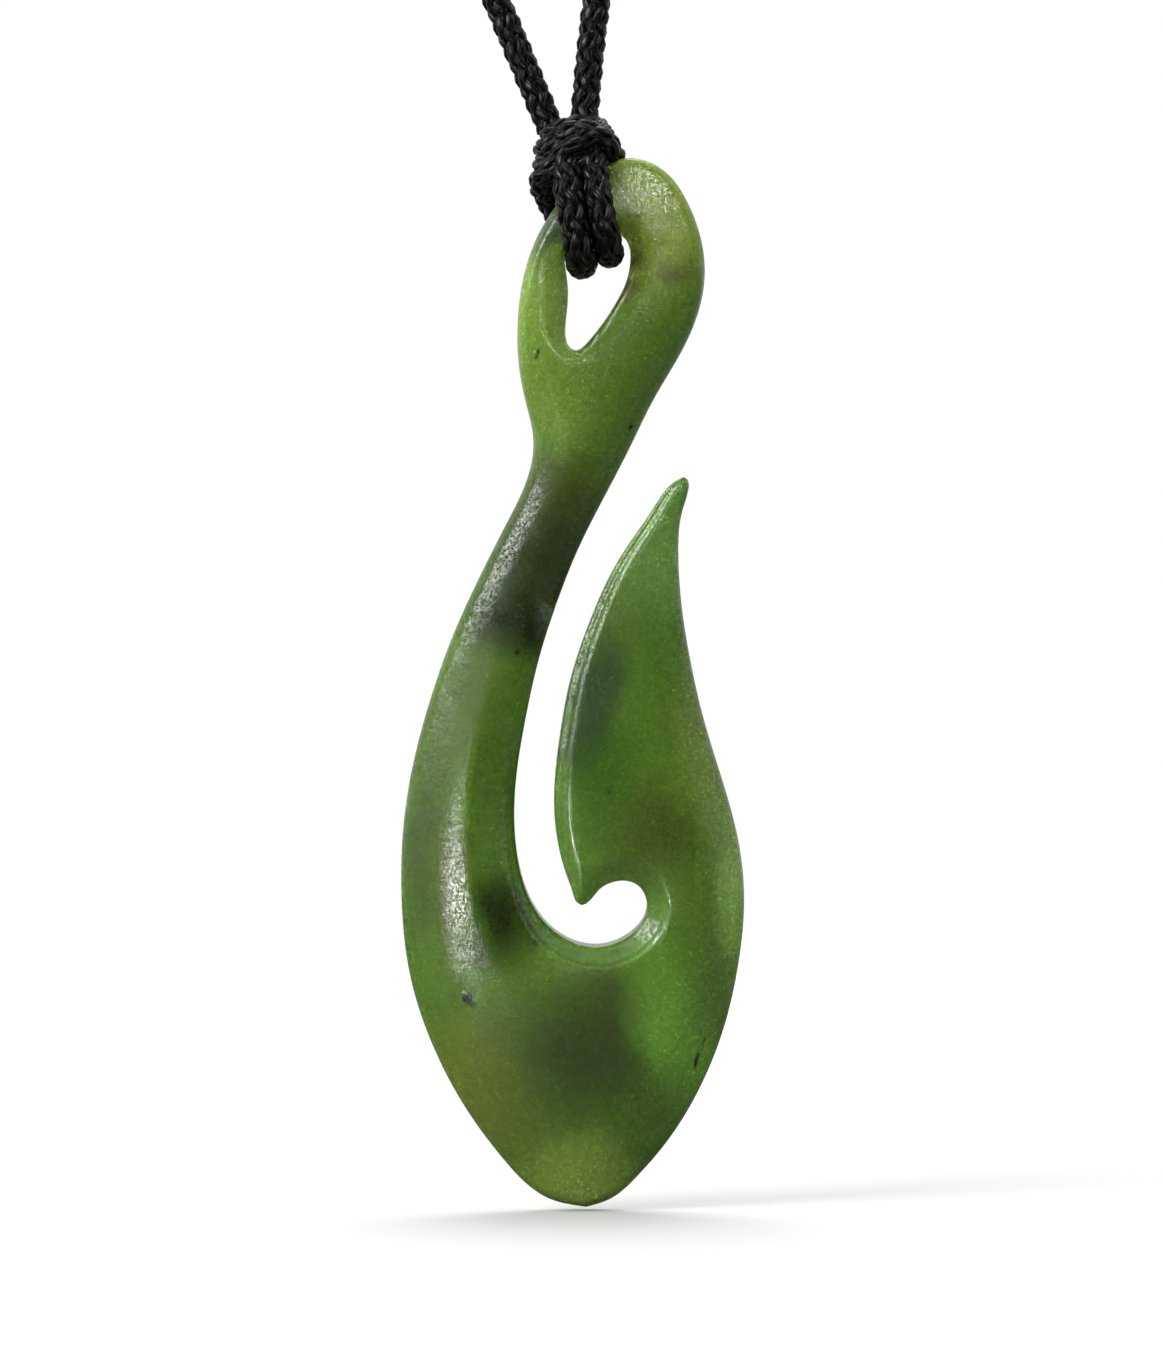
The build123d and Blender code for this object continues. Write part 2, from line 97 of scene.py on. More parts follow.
# Bevelled edges. Columns: the same two shares, the bevel's width as a share of BEVEL_WIDTH, then the step
# up from it to the face, in millimetres: its width, its rise, and how widely the ridge on top of it is
# softened. The edge of the slot has two more: width and slope of the long facet that runs along the shank
# and dies out at the bend.
SLOT_EDGE = [
    (0.452, 0.575, 0.18, 1.2, 0.50, 0.90, 3.0, 0.00), (0.417, 0.541, 0.25, 0.8, 0.30, 0.60, 3.0, 0.00),
    (0.362, 0.465, 0.32, 0.4, 0.12, 0.30, 3.0, 0.20), (0.332, 0.395, 0.34, 0.3, 0.10, 0.20, 3.0, 0.52),
    (0.341, 0.332, 0.34, 0.3, 0.14, 0.18, 3.1, 0.52), (0.376, 0.2945, 0.48, 0.30, 0.20, 0.18, 3.6, 0.32),
    (0.450, 0.2637, 0.72, 0.34, 0.36, 0.24, 4.6, 0.16), (0.571, 0.2497, 0.78, 0.38, 0.46, 0.30, 5.0, 0.04),
    (0.660, 0.2595, 0.80, 0.40, 0.50, 0.32, 4.6, 0.00), (0.714, 0.282, 0.80, 0.42, 0.50, 0.34, 3.0, 0.00),
    (0.712, 0.298, 0.62, 0.7, 0.54, 0.34, 3.0, 0.00), (0.685, 0.310, 0.40, 1.1, 0.62, 0.35, 3.0, 0.00),
    (0.646, 0.3135, 0.28, 1.3, 0.70, 0.40, 3.0, 0.00), (0.6125, 0.3117, 0.22, 1.3, 0.66, 0.45, 3.0, 0.00),
    (0.5795, 0.3058, 0.16, 1.2, 0.55, 0.60, 3.0, 0.00), (0.553, 0.2957, 0.14, 0.9, 0.50, 0.70, 3.0, 0.00),
    (0.5397, 0.2918, 0.14, 0.7, 0.45, 0.60, 3.0, 0.00)]
BLADE_INNER_EDGE = [
    (0.5265, 0.2905, 0.16, 0.6, 0.45, 0.55), (0.5133, 0.2929, 0.22, 0.5, 0.40, 0.50),
    (0.500, 0.3026, 0.30, 0.4, 0.34, 0.45), (0.4815, 0.3199, 0.36, 0.35, 0.32, 0.42),
    (0.457, 0.350, 0.39, 0.32, 0.32, 0.42), (0.446, 0.389, 0.39, 0.30, 0.32, 0.40),
    (0.461, 0.446, 0.38, 0.30, 0.34, 0.34), (0.493, 0.503, 0.36, 0.32, 0.36, 0.34),
    (0.551, 0.560, 0.33, 0.32, 0.38, 0.34), (0.633, 0.617, 0.30, 0.32, 0.38, 0.32),
    (0.735, 0.667, 0.26, 0.30, 0.34, 0.28), (0.7984, 0.6924, 0.16, 0.2, 0.20, 0.18),
    (0.8235, 0.6967, 0.08, 0.2, 0.10, 0.14)]
# The same for the eye, with shares of the eye's width and height.
EYE_EDGE = [
    (0.204, 0.000, 0.16, 0.3, 0.12, 0.30), (0.302, 0.028, 0.10, 0.6, 0.20, 0.60),
    (0.402, 0.088, 0.10, 0.8, 0.26, 0.80), (0.628, 0.257, 0.10, 0.9, 0.30, 0.90),
    (0.814, 0.430, 0.10, 0.9, 0.30, 0.90), (0.953, 0.604, 0.10, 0.9, 0.30, 0.90),
    (1.000, 0.735, 0.10, 0.9, 0.30, 0.90), (1.000, 0.870, 0.10, 0.9, 0.30, 0.90),
    (0.910, 0.975, 0.10, 0.9, 0.30, 0.90), (0.710, 1.000, 0.12, 0.8, 0.30, 0.80),
    (0.430, 0.960, 0.20, 0.7, 0.28, 0.60), (0.180, 0.910, 0.40, 0.5, 0.26, 0.50),
    (0.045, 0.820, 0.60, 0.5, 0.24, 0.60), (0.050, 0.700, 0.72, 0.55, 0.34, 0.72),
    (0.085, 0.520, 0.74, 0.60, 0.36, 0.80), (0.070, 0.340, 0.70, 0.60, 0.36, 0.75),
    (0.046, 0.170, 0.60, 0.50, 0.34, 0.50), (0.075, 0.060, 0.44, 0.3, 0.22, 0.22),
    (0.130, 0.016, 0.28, 0.3, 0.16, 0.26)]
# Columns: share of the height, share of the belly's thickness.
SHANK_CROWN = [(0.00, 0.54), (0.10, 0.77), (0.20, 0.91), (0.27, 0.955), (0.32, 0.95), (0.36, 0.925),
               (0.40, 0.885), (0.45, 0.825), (0.50, 0.775), (0.56, 0.74), (0.64, 0.725), (0.72, 0.735),
               (0.84, 0.755), (0.94, 0.75), (1.00, 0.70)]
# Columns: share of the height, how far in the rounding of the rounded edges reaches, rise of the long dome
# that goes on from there. The neck and the head are nearly flat between narrow roundings.
ROUNDING = [(0.00, 3.0, 0.36), (0.38, 3.0, 0.36), (0.48, 2.6, 0.26), (0.57, 2.1, 0.12), (0.70, 1.8, 0.08),
            (0.80, 1.4, 0.06), (0.90, 1.1, 0.06), (1.00, 0.9, 0.08)]
BLADE_CROWN = [(0.24, 0.876), (0.34, 0.86), (0.45, 0.76), (0.56, 0.58), (0.70, 0.32)]
# Columns: share of the height, share of the width, along the middle of the slot.
SLOT_MIDDLE = [(0.24, 0.40), (0.30, 0.43), (0.37, 0.39), (0.48, 0.42), (0.56, 0.49), (0.64, 0.60),
               (0.72, 0.74)]

EDGE_STEP = 0.22            # spacing of the mesh along the outline
NET_STEP = 0.27             # spacing of the mesh over the faces
ROW_ROOM = 0.93             # a row's point stays when no edge is nearer than this share of its own offset
NET_ROOM = 0.62             # a net point stays when no row is nearer than this share of its spacing
OUTER_ROWS = (0.03, 0.10, 0.20, 0.32, 0.45, 0.66, 0.90)       # rows beside a rounded edge
BEVEL_ROWS = (0.1, 0.3, 0.55, 0.8, 1.0)                       # rows on a bevel, as shares of its width
RIDGE_ROWS = (0.1, 0.2, 0.3, 0.42, 0.56, 0.75)                # rows beyond a bevel
WALL_ROWS = (0.9, 0.4, -0.4, -0.9)      # rows down the wall, as shares of half its height


def srgb(code, alpha=1.0):
    """An sRGB hex colour as linear red, green, blue and alpha."""
    parts = [int(code[i:i + 2], 16) / 255 for i in (0, 2, 4)]
    return tuple(c / 12.92 if c <= 0.04045 else ((c + 0.055) / 1.055) ** 2.4 for c in parts) + (alpha,)


def on_hook(row):
    return (HOOK_LEFT + row[0] * HOOK_WIDTH, row[1] * HOOK_HEIGHT)


def in_eye(row):
    bottom = HOOK_HEIGHT - EYE_TO_TOP - EYE_HEIGHT
    return (HOOK_LEFT + EYE_ACROSS * HOOK_WIDTH + row[0] * EYE_WIDTH, bottom + row[1] * EYE_HEIGHT)


def spline_through(knots, values, at):
    """A natural cubic spline through values at knots, read at other places."""
    h = np.diff(knots)
    n = len(knots)
    system = np.eye(n)
    right = np.zeros((n, values.shape[1]))
    for i in range(1, n - 1):
        system[i, i - 1:i + 2] = h[i - 1], 2 * (h[i - 1] + h[i]), h[i]
        right[i] = 6 * ((values[i + 1] - values[i]) / h[i] - (values[i] - values[i - 1]) / h[i - 1])
    bend = np.linalg.solve(system, right)
    i = np.clip(np.searchsorted(knots, at) - 1, 0, n - 2)
    a = ((knots[i + 1] - at) / h[i])[:, None]
    b = 1.0 - a
    step = h[i][:, None]
    return (a * values[i] + b * values[i + 1]
            + ((a ** 3 - a) * bend[i] + (b ** 3 - b) * bend[i + 1]) * step ** 2 / 6)


class Edging:
    """One stretch of the hook's outline: evenly spaced points, and what its table says at each of them."""

    def __init__(self, rows, place, closed=False):
        spots = np.array([place(row) for row in rows])
        values = np.array([row[2:] for row in rows])
        if closed:
            count = len(spots)
            spots = np.vstack([spots, spots, spots, spots[:1]])
            values = np.vstack([values, values, values, values[:1]])
        knots = np.concatenate([[0.0], np.cumsum(np.hypot(*np.diff(spots, axis=0).T))])
        start, end = (knots[count], knots[2 * count]) if closed else (0.0, knots[-1])
        at = np.linspace(start, end, round((end - start) / EDGE_STEP) + 1)
        if closed:
            at = at[:-1]
        self.points = spline_through(knots, spots, at)
        self.values = np.column_stack([np.interp(at, knots, column) for column in values.T])


body_outer = Edging(BODY_OUTER_EDGE, on_hook)
slot_edge = Edging(SLOT_EDGE, on_hook)
blade_inner = Edging(BLADE_INNER_EDGE, on_hook)
blade_outer = Edging(BLADE_OUTER_EDGE, on_hook)
eye = Edging(EYE_EDGE, in_eye, closed=True)
hook_ring = np.vstack([body_outer.points[:-1], slot_edge.points,
                       blade_inner.points, blade_outer.points[:-1]])
hook_bevel = np.concatenate([np.zeros(len(body_outer.points) - 1), slot_edge.values[:, 0] * BEVEL_WIDTH,
                             blade_inner.values[:, 0] * BEVEL_WIDTH, np.zeros(len(blade_outer.points) - 1)])
eye_bevel = eye.values[:, 0] * BEVEL_WIDTH


def inside(points, ring):
    """Which points lie inside a closed ring."""
    found = np.zeros(len(points), dtype=bool)
    for (x0, z0), (x1, z1) in zip(ring, np.roll(ring, -1, axis=0)):
        if z0 == z1:
            continue
        spans = (z0 > points[:, 1]) != (z1 > points[:, 1])
        found ^= spans & (points[:, 0] < x0 + (points[:, 1] - z0) * (x1 - x0) / (z1 - z0))
    return found


def distance_to(points, chain):
    """Distance from each point to the nearest part of a chain of points, and which of them is nearest. A
    jump from one stretch of the chain to the next isn't a part of it."""
    tree = KDTree(len(chain))
    for i, (x, z) in enumerate(chain):
        tree.insert((x, z, 0.0), i)
    tree.balance()
    nearest = np.array([tree.find((x, z, 0.0))[1] for x, z in points], dtype=int)
    best = np.hypot(*(points - chain[nearest]).T)
    for other in (np.maximum(nearest - 1, 0), np.minimum(nearest + 1, len(chain) - 1)):
        run = chain[other] - chain[nearest]
        length = (run ** 2).sum(axis=1)
        usable = (length > 0.0) & (length < 4 * EDGE_STEP ** 2)
        share = ((points - chain[nearest]) * run).sum(axis=1) / np.where(usable, length, 1.0)
        near = chain[nearest] + np.clip(share, 0.0, 1.0)[:, None] * run
        best = np.where(usable, np.minimum(best, np.hypot(*(points - near).T)), best)
    return best, nearest


def on_blade(points):
    up = points[:, 1] / HOOK_HEIGHT
    middle = HOOK_LEFT + np.interp(up, *zip(*SLOT_MIDDLE)) * HOOK_WIDTH
    return (points[:, 0] > middle) & (up > BLADE_CROWN[0][0]) & (up < SLOT_MIDDLE[-1][0])


def crown(points):
    """Half the thickness on the crown at each point."""
    up = points[:, 1] / HOOK_HEIGHT
    blade, shank = np.interp(up, *zip(*BLADE_CROWN)), np.interp(up, *zip(*SHANK_CROWN))
    return np.where(on_blade(points), blade, shank) * BELLY_THICKNESS / 2


def roll(distance, radius):
    """Height of a quarter round at a distance in from its edge."""
    reach = np.clip(distance / radius, 0.0, 1.0)
    return radius * np.sqrt(1.0 - (1.0 - reach) ** 2)


def dome(points):
    """Half the thickness before the bevels are cut: a rolled rim, its rounding and a long soft dome. Also,
    how freely each point may be evened out with those around it."""
    chain = np.vstack([body_outer.points, blade_outer.points])
    wall = np.concatenate([body_outer.values[:, 0], blade_outer.values[:, 0]])
    gap, nearest = distance_to(points, chain)
    top = crown(points)
    wall = np.minimum(wall[nearest], WALL_LIMIT * top)
    rim = np.minimum(RIM_ROLL, (top - wall) / 2)
    flattened = np.minimum(gap, 2 * DOME_REACH)
    along = flattened - flattened ** 2 / (4 * DOME_REACH)
    full = 0.75 * DOME_REACH        # what along comes to at DOME_REACH
    up = points[:, 1] / HOOK_HEIGHT
    heights, widths, slopes = zip(*ROUNDING)
    width = np.where(on_blade(points), widths[0], np.interp(up, heights, widths))
    steepest = np.where(on_blade(points), slopes[0], np.interp(up, heights, slopes))
    slope = np.minimum(steepest, (top - wall - rim) / (2 * full))
    rounding = 1.0 - (1.0 - np.minimum(gap / width, 1.0)) ** 2
    height = wall + roll(gap, rim) + (top - wall - rim - slope * full) * rounding + slope * along
    return height, np.clip((gap - RIM_ROLL) / RIM_ROLL, 0.0, 1.0)


def evened(values, free, points, triangles):
    """Values on a flat mesh of triangles, each drawn again and again towards the mean of those around it.
    An edge counts by the cotangents of the corners opposite it, so the mesh's own pattern doesn't show."""
    ends, others, weights = [], [], []
    for i, j, k in ((0, 1, 2), (1, 2, 0), (2, 0, 1)):
        a, b, c = (points[triangles[:, corner]] for corner in (i, j, k))
        area = np.abs((a[:, 0] - c[:, 0]) * (b[:, 1] - c[:, 1]) - (a[:, 1] - c[:, 1]) * (b[:, 0] - c[:, 0]))
        weight = np.clip(((a - c) * (b - c)).sum(axis=1) / np.maximum(area, 1e-9), 0.01, 10.0)
        ends += [triangles[:, i], triangles[:, j]]
        others += [triangles[:, j], triangles[:, i]]
        weights += [weight, weight]
    ends, others, weights = (np.concatenate(part) for part in (ends, others, weights))
    total = np.bincount(ends, weights, len(values))
    total[total == 0.0] = 1.0
    for _ in range(DOME_PASSES):
        mean = np.bincount(ends, weights * values[others], len(values)) / total
        values = values + free * (mean - values)
    return values


def eased(reach, soft):
    """A length that is nothing below 0, with the bend at 0 rounded over a softness to both sides."""
    return np.where(np.abs(reach) < soft, (reach + soft) ** 2 / (4 * soft), np.maximum(reach, 0.0))


def cut(points, edging):
    """How deep the bevel along one stretch of edge, and the step beside it, go into the dome."""
    gap, nearest = distance_to(points, edging.points)
    share, width, rise, soft = edging.values[nearest, :4].T
    bevel = share * BEVEL_WIDTH
    step = rise * np.minimum(eased(bevel + width - gap, soft), width) / width
    fall = BEVEL_SLOPE * np.sqrt(share) * np.maximum(bevel - gap, 0.0)
    return step + fall + BEVEL_ROLL - roll(gap, BEVEL_ROLL)


def long_facet(points):
    """How deep the facet along the shank goes in, from its ridge towards the slot."""
    gap, nearest = distance_to(points, slot_edge.points)
    width, slope = slot_edge.values[nearest, 4:].T
    return slope * eased(width - gap, FACET_SOFT)


def half_thickness(points, triangles):
    """Half the thickness of the stone: the dome, less the long facet and the bevels. Where two bevels meet,
    the deeper one counts, with a softened line between them."""
    height, free = dome(points)
    gap, _ = distance_to(points, np.vstack([slot_edge.points, blade_inner.points, eye.points]))
    free = free * (gap > 0.0)
    uncut = evened(height, free, points, triangles)
    whole = uncut - long_facet(points)
    deep = sum(cut(points, edging) ** 4 for edging in (slot_edge, blade_inner, eye)) ** 0.25
    return np.maximum(whole - deep, np.minimum(whole / 2, THIN_EDGE))


def beside(ring, amounts):
    """A ring's points moved inwards by an amount each."""
    along = np.roll(ring, -1, axis=0) - np.roll(ring, 1, axis=0)
    sideways = np.column_stack([along[:, 1], -along[:, 0]]) / np.hypot(*along.T)[:, None]
    return ring + sideways * np.asarray(amounts)[:, None]


def face_points():
    """Mesh points over a face: the outlines, rows that follow their rims and bevels, and an even net."""
    rows = []
    for ring, bevels, side in ((hook_ring, hook_bevel, 1.0), (eye.points, eye_bevel, -1.0)):
        rounded = bevels == 0.0
        for step in OUTER_ROWS:
            offsets = np.full(len(ring), step)
            rows.append((beside(ring, side * offsets)[rounded], offsets[rounded]))
        for share, extra in [(share, 0.0) for share in BEVEL_ROWS] + [(1.0, extra) for extra in RIDGE_ROWS]:
            offsets = share * bevels + extra
            rows.append((beside(ring, side * offsets)[~rounded], offsets[~rounded]))
    spots = np.vstack([row[0] for row in rows])
    offsets = np.concatenate([row[1] for row in rows])
    kept = inside(spots, hook_ring) & ~inside(spots, eye.points)
    spots, offsets = spots[kept], offsets[kept]
    gap, _ = distance_to(spots, np.vstack([hook_ring, eye.points]))
    spots = spots[gap > ROW_ROOM * offsets]
    low, high = hook_ring.min(axis=0), hook_ring.max(axis=0)
    net = np.array([(x + NET_STEP / 2 * (row % 2), z)
                    for row, z in enumerate(np.arange(low[1], high[1], NET_STEP * math.sqrt(0.75)))
                    for x in np.arange(low[0], high[0], NET_STEP)])
    net = net[inside(net, hook_ring) & ~inside(net, eye.points)]
    taken = np.vstack([hook_ring, eye.points, spots])
    gap, _ = distance_to(net, taken)
    return np.vstack([taken, net[gap > NET_ROOM * NET_STEP]])


def new_piece(name, vertices, faces, material, body_name, threads=None):
    """A smooth mesh object from millimetre vertices, riding on a body. A cord has the UV of its threads."""
    mesh = bpy.data.meshes.new(name)
    mesh.from_pydata([tuple(v) for v in vertices * MM], [], faces)
    if threads is not None:
        mesh.uv_layers.new(name="threads").data.foreach_set("uv", threads.ravel())
    mesh.shade_smooth()
    mesh.materials.append(material)
    piece = bpy.data.objects.new(name, mesh)
    bpy.context.scene.collection.objects.link(piece)
    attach(piece, body_name)
    return piece


def hook_mesh(material):
    """The stone: one net of points for both faces, and a wall round the outline and the eye."""
    corners = face_points()
    ring_count, eye_count = len(hook_ring), len(eye.points)
    rings = [list(range(ring_count)), list(range(ring_count, ring_count + eye_count))]
    edges = [(ring[i], ring[(i + 1) % len(ring)]) for ring in rings for i in range(len(ring))]
    spots, _, triangles, origin, _, _ = delaunay_2d_cdt([Vector(c) for c in corners], edges, [], 0, 1e-6)
    spots = np.array([tuple(s) for s in spots])
    source = [o[0] if o else i for i, o in enumerate(origin)]
    triangles = np.array([t for t in triangles])
    middles = spots[triangles].mean(axis=1)
    triangles = triangles[inside(middles, hook_ring) & ~inside(middles, eye.points)]
    half = half_thickness(spots, triangles)
    count = len(spots)
    front = np.column_stack([spots[:, 0], MIDDLE_PLANE - half, HOOK_TIP + spots[:, 1]])
    back = np.column_stack([spots[:, 0], MIDDLE_PLANE + half, HOOK_TIP + spots[:, 1]])
    a, b, c = (spots[triangles[:, i]] for i in range(3))
    turn = (b[:, 0] - a[:, 0]) * (c[:, 1] - a[:, 1]) - (b[:, 1] - a[:, 1]) * (c[:, 0] - a[:, 0])
    triangles[turn < 0] = triangles[turn < 0][:, ::-1]
    faces = [tuple(t) for t in triangles] + [tuple(t[::-1] + count) for t in triangles]
    vertices = [front, back]
    total = 2 * count
    place = {source[i]: i for i in range(count - 1, -1, -1)}
    for ring in rings:
        held = [place[i] for i in ring]
        columns = [held]
        for share in WALL_ROWS:
            wall = front[held].copy()
            wall[:, 1] = MIDDLE_PLANE - share * half[held]
            vertices.append(wall)
            columns.append(list(range(total, total + len(held))))
            total += len(held)
        columns.append([i + count for i in held])
        for upper, lower in zip(columns, columns[1:]):
            for i in range(len(held)):
                j = (i + 1) % len(held)
                faces.append((upper[i], lower[i], lower[j], upper[j]))
    piece = new_piece("hook_stone_polished", np.vstack(vertices), faces, material, "hook")
    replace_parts(piece, "hook_stone")


def node(tree, kind, settings=None, links=None):
    """Add a node, set its values and sockets, and link its inputs."""
    made = tree.nodes.new(kind)
    for key, value in (settings or {}).items():
        if isinstance(key, str) and hasattr(made, key):
            setattr(made, key, value)
        else:
            made.inputs[key].default_value = value
    for key, source in (links or {}).items():
        tree.links.new(source, made.inputs[key])
    return made


def new_material(name):
    material = bpy.data.materials.new(name)
    material.use_nodes = True
    material.node_tree.nodes.clear()
    return material, material.node_tree


def shifted(tree, spot, size, amount):
    """A place moved about by cloudy noise, so that what is drawn from it has uneven edges."""
    noise = node(tree, "ShaderNodeTexNoise", {"Scale": 1.0 / size, "Detail": 3.0}, {"Vector": spot})
    centred = node(tree, "ShaderNodeVectorMath", {"operation": "SUBTRACT", 1: (0.5, 0.5, 0.5)},
                   {0: noise.outputs["Color"]})
    scaled = node(tree, "ShaderNodeVectorMath", {"operation": "SCALE", "Scale": 2 * amount},
                  {0: centred.outputs[0]})
    return node(tree, "ShaderNodeVectorMath", {"operation": "ADD"},
                {0: spot, 1: scaled.outputs[0]}).outputs[0]


def blot(tree, spot, x, z, wide, tall, lean, softness):
    """How far inside a leaning ellipse a place is: 1 in its middle, 0 from its edge out. It is the same
    right through the stone."""
    laid = node(tree, "ShaderNodeMapping",
                {"vector_type": "TEXTURE", "Location": (x, 0.0, z), "Scale": (wide, 1000.0, tall),
                 "Rotation": (0.0, math.radians(lean), 0.0)}, {"Vector": spot})
    ball = node(tree, "ShaderNodeTexGradient", {"gradient_type": "SPHERICAL"}, {"Vector": laid.outputs[0]})
    return node(tree, "ShaderNodeMapRange", {"interpolation_type": "SMOOTHSTEP", "From Max": softness},
                {"Value": ball.outputs["Fac"]}).outputs["Result"]


# Clouds in the stone, and some patches of painted sheen, rim light, floor light and shade. Columns: X and Z
# of the middle on the hook's drawing, half the width, half the height, degrees that the top leans right,
# colour, strength.
CLOUDS_AND_PAINTED_LIGHT = [
    (4.5, 65.5, 5.5, 6.5, 20, "90A840", 1.0),        # pale head, partly painted sheen on its top
    (-2.6, 60.5, 2.6, 7.5, 8, "90B44C", 1.0),        # yellowish arm left of the eye, partly painted sheen
    (-1.2, 54.5, 3.4, 4.6, 0, "7CA03C", 0.9),        # below that arm
    (4.2, 56.0, 4.4, 5.4, 25, "5E842A", 0.9),        # deeper green right of the eye's foot
    (-2.0, 65.2, 1.2, 2.4, 25, "3C5434", 0.8),       # painted shade on the shoulder beside the cord
    (3.1, 60.8, 1.0, 1.2, 30, "5C5624", 0.7),        # brown clouds right of the eye
    (4.3, 62.8, 0.8, 0.8, 0, "66642E", 0.6),
    (6.9, 62.2, 1.4, 1.4, 0, "62662F", 0.6),
    (-0.8, 47.2, 4.4, 3.4, 30, "4E5E20", 0.9),       # the neck turns dark
    (-2.6, 43.0, 4.0, 5.2, 25, "384620", 1.0),
    (-4.2, 38.6, 3.4, 2.4, 15, "1A210A", 1.0),
    (-7.6, 33.0, 3.0, 6.4, 18, "547020", 0.8),       # mid green shank
    (-4.9, 31.6, 1.6, 7.0, 10, "4C701E", 0.8),       # greener inner facet
    (-10.2, 24.0, 2.2, 9.0, 5, "425B1C", 0.7),       # paler outer side
    (-8.2, 21.0, 1.6, 6.0, -4, "52611C", 0.8),       # olive under the long highlight
    (-4.7, 19.4, 1.8, 3.8, -15, "22300A", 0.85),      # dark beside the bend
    (-6.0, 17.0, 1.3, 1.8, -30, "2E3C14", 0.6),
    (-6.6, 7.4, 5.0, 6.2, -30, "6A7E28", 1.0),       # olive yellow, low on the left
    (0.8, 11.0, 6.0, 5.2, 0, "384C14", 0.9),         # dark olive middle of the belly
    (1.6, 14.4, 3.4, 1.6, 0, "3C4F17", 0.6),
    (7.2, 11.0, 3.2, 6.4, -20, "6CA034", 1.0),       # saturated green on the right
    (0.2, 1.0, 4.6, 4.2, 0, "9AB64E", 0.9),          # olive tip, partly painted light bounced up from the floor
    (8.8, 18.0, 3.0, 6.8, -8, "547725", 0.8),
    (10.8, 20.0, 1.6, 8.0, -4, "86B24C", 0.8),       # paler right side, partly painted rim light
    (5.2, 25.4, 3.6, 3.8, 20, "4A5C1C", 0.9),        # olive brown above the curl
    (2.4, 28.6, 2.4, 4.0, 10, "446A1C", 0.9),
    (1.0, 33.8, 1.8, 5.4, 10, "2E4F1C", 1.0),        # blue green along the blade's left
    (6.2, 44.5, 3.0, 5.6, 12, "76A24C", 0.9),        # paler point of the blade
    # The last row: the blade's paler right edge, partly painted rim light
    (8.6, 30.0, 2.0, 7.0, -12, "6E8A30", 0.8)]
PATCH_SPREAD = 1.35         # by which a patch is drawn larger than its table says, for its edge fades
PATCH_FADE = 0.75           # share of its radius over which it fades
# Dark specks, in the same columns without the colour.
SPECKS = [
    (-7.35, 14.0, 0.55, 0.42, 15, 1.0), (-7.1, 14.25, 0.35, 0.3, 0, 1.0), (-7.0, 13.8, 0.4, 0.3, 20, 0.9),
    (7.95, 9.85, 0.17, 0.8, 14, 1.0), (8.45, 11.1, 0.07, 0.75, 22, 0.8), (-2.58, 57.1, 0.12, 0.3, 20, 1.0),
    (-2.7, 56.75, 0.12, 0.25, 25, 0.9), (2.1, 27.85, 0.13, 0.36, 5, 0.7), (-2.8, 17.85, 0.3, 0.25, 0, 0.9),
    (4.1, 66.2, 0.24, 0.2, 0, 1.0), (3.6, 52.1, 0.14, 0.28, 30, 0.9), (-4.0, 37.15, 0.3, 0.2, 0, 1.0),
    (0.6, 53.7, 0.1, 0.18, 10, 0.7), (6.55, 61.9, 0.16, 0.14, 0, 0.6), (-7.6, 36.4, 0.12, 0.1, 0, 0.7),
    (7.6, 63.0, 0.16, 0.12, 0, 0.6), (-9.5, 9.2, 0.12, 0.14, 0, 0.7), (7.0, 8.6, 0.1, 0.1, 0, 0.7),
    (8.0, 35.6, 0.2, 0.34, 10, 0.5), (-3.9, 61.3, 0.12, 0.1, 0, 0.6), (-6.0, 31.2, 0.1, 0.22, 10, 0.5)]
SPECK_SPREAD = 1.2          # the same two for the specks
SPECK_FADE = 0.8


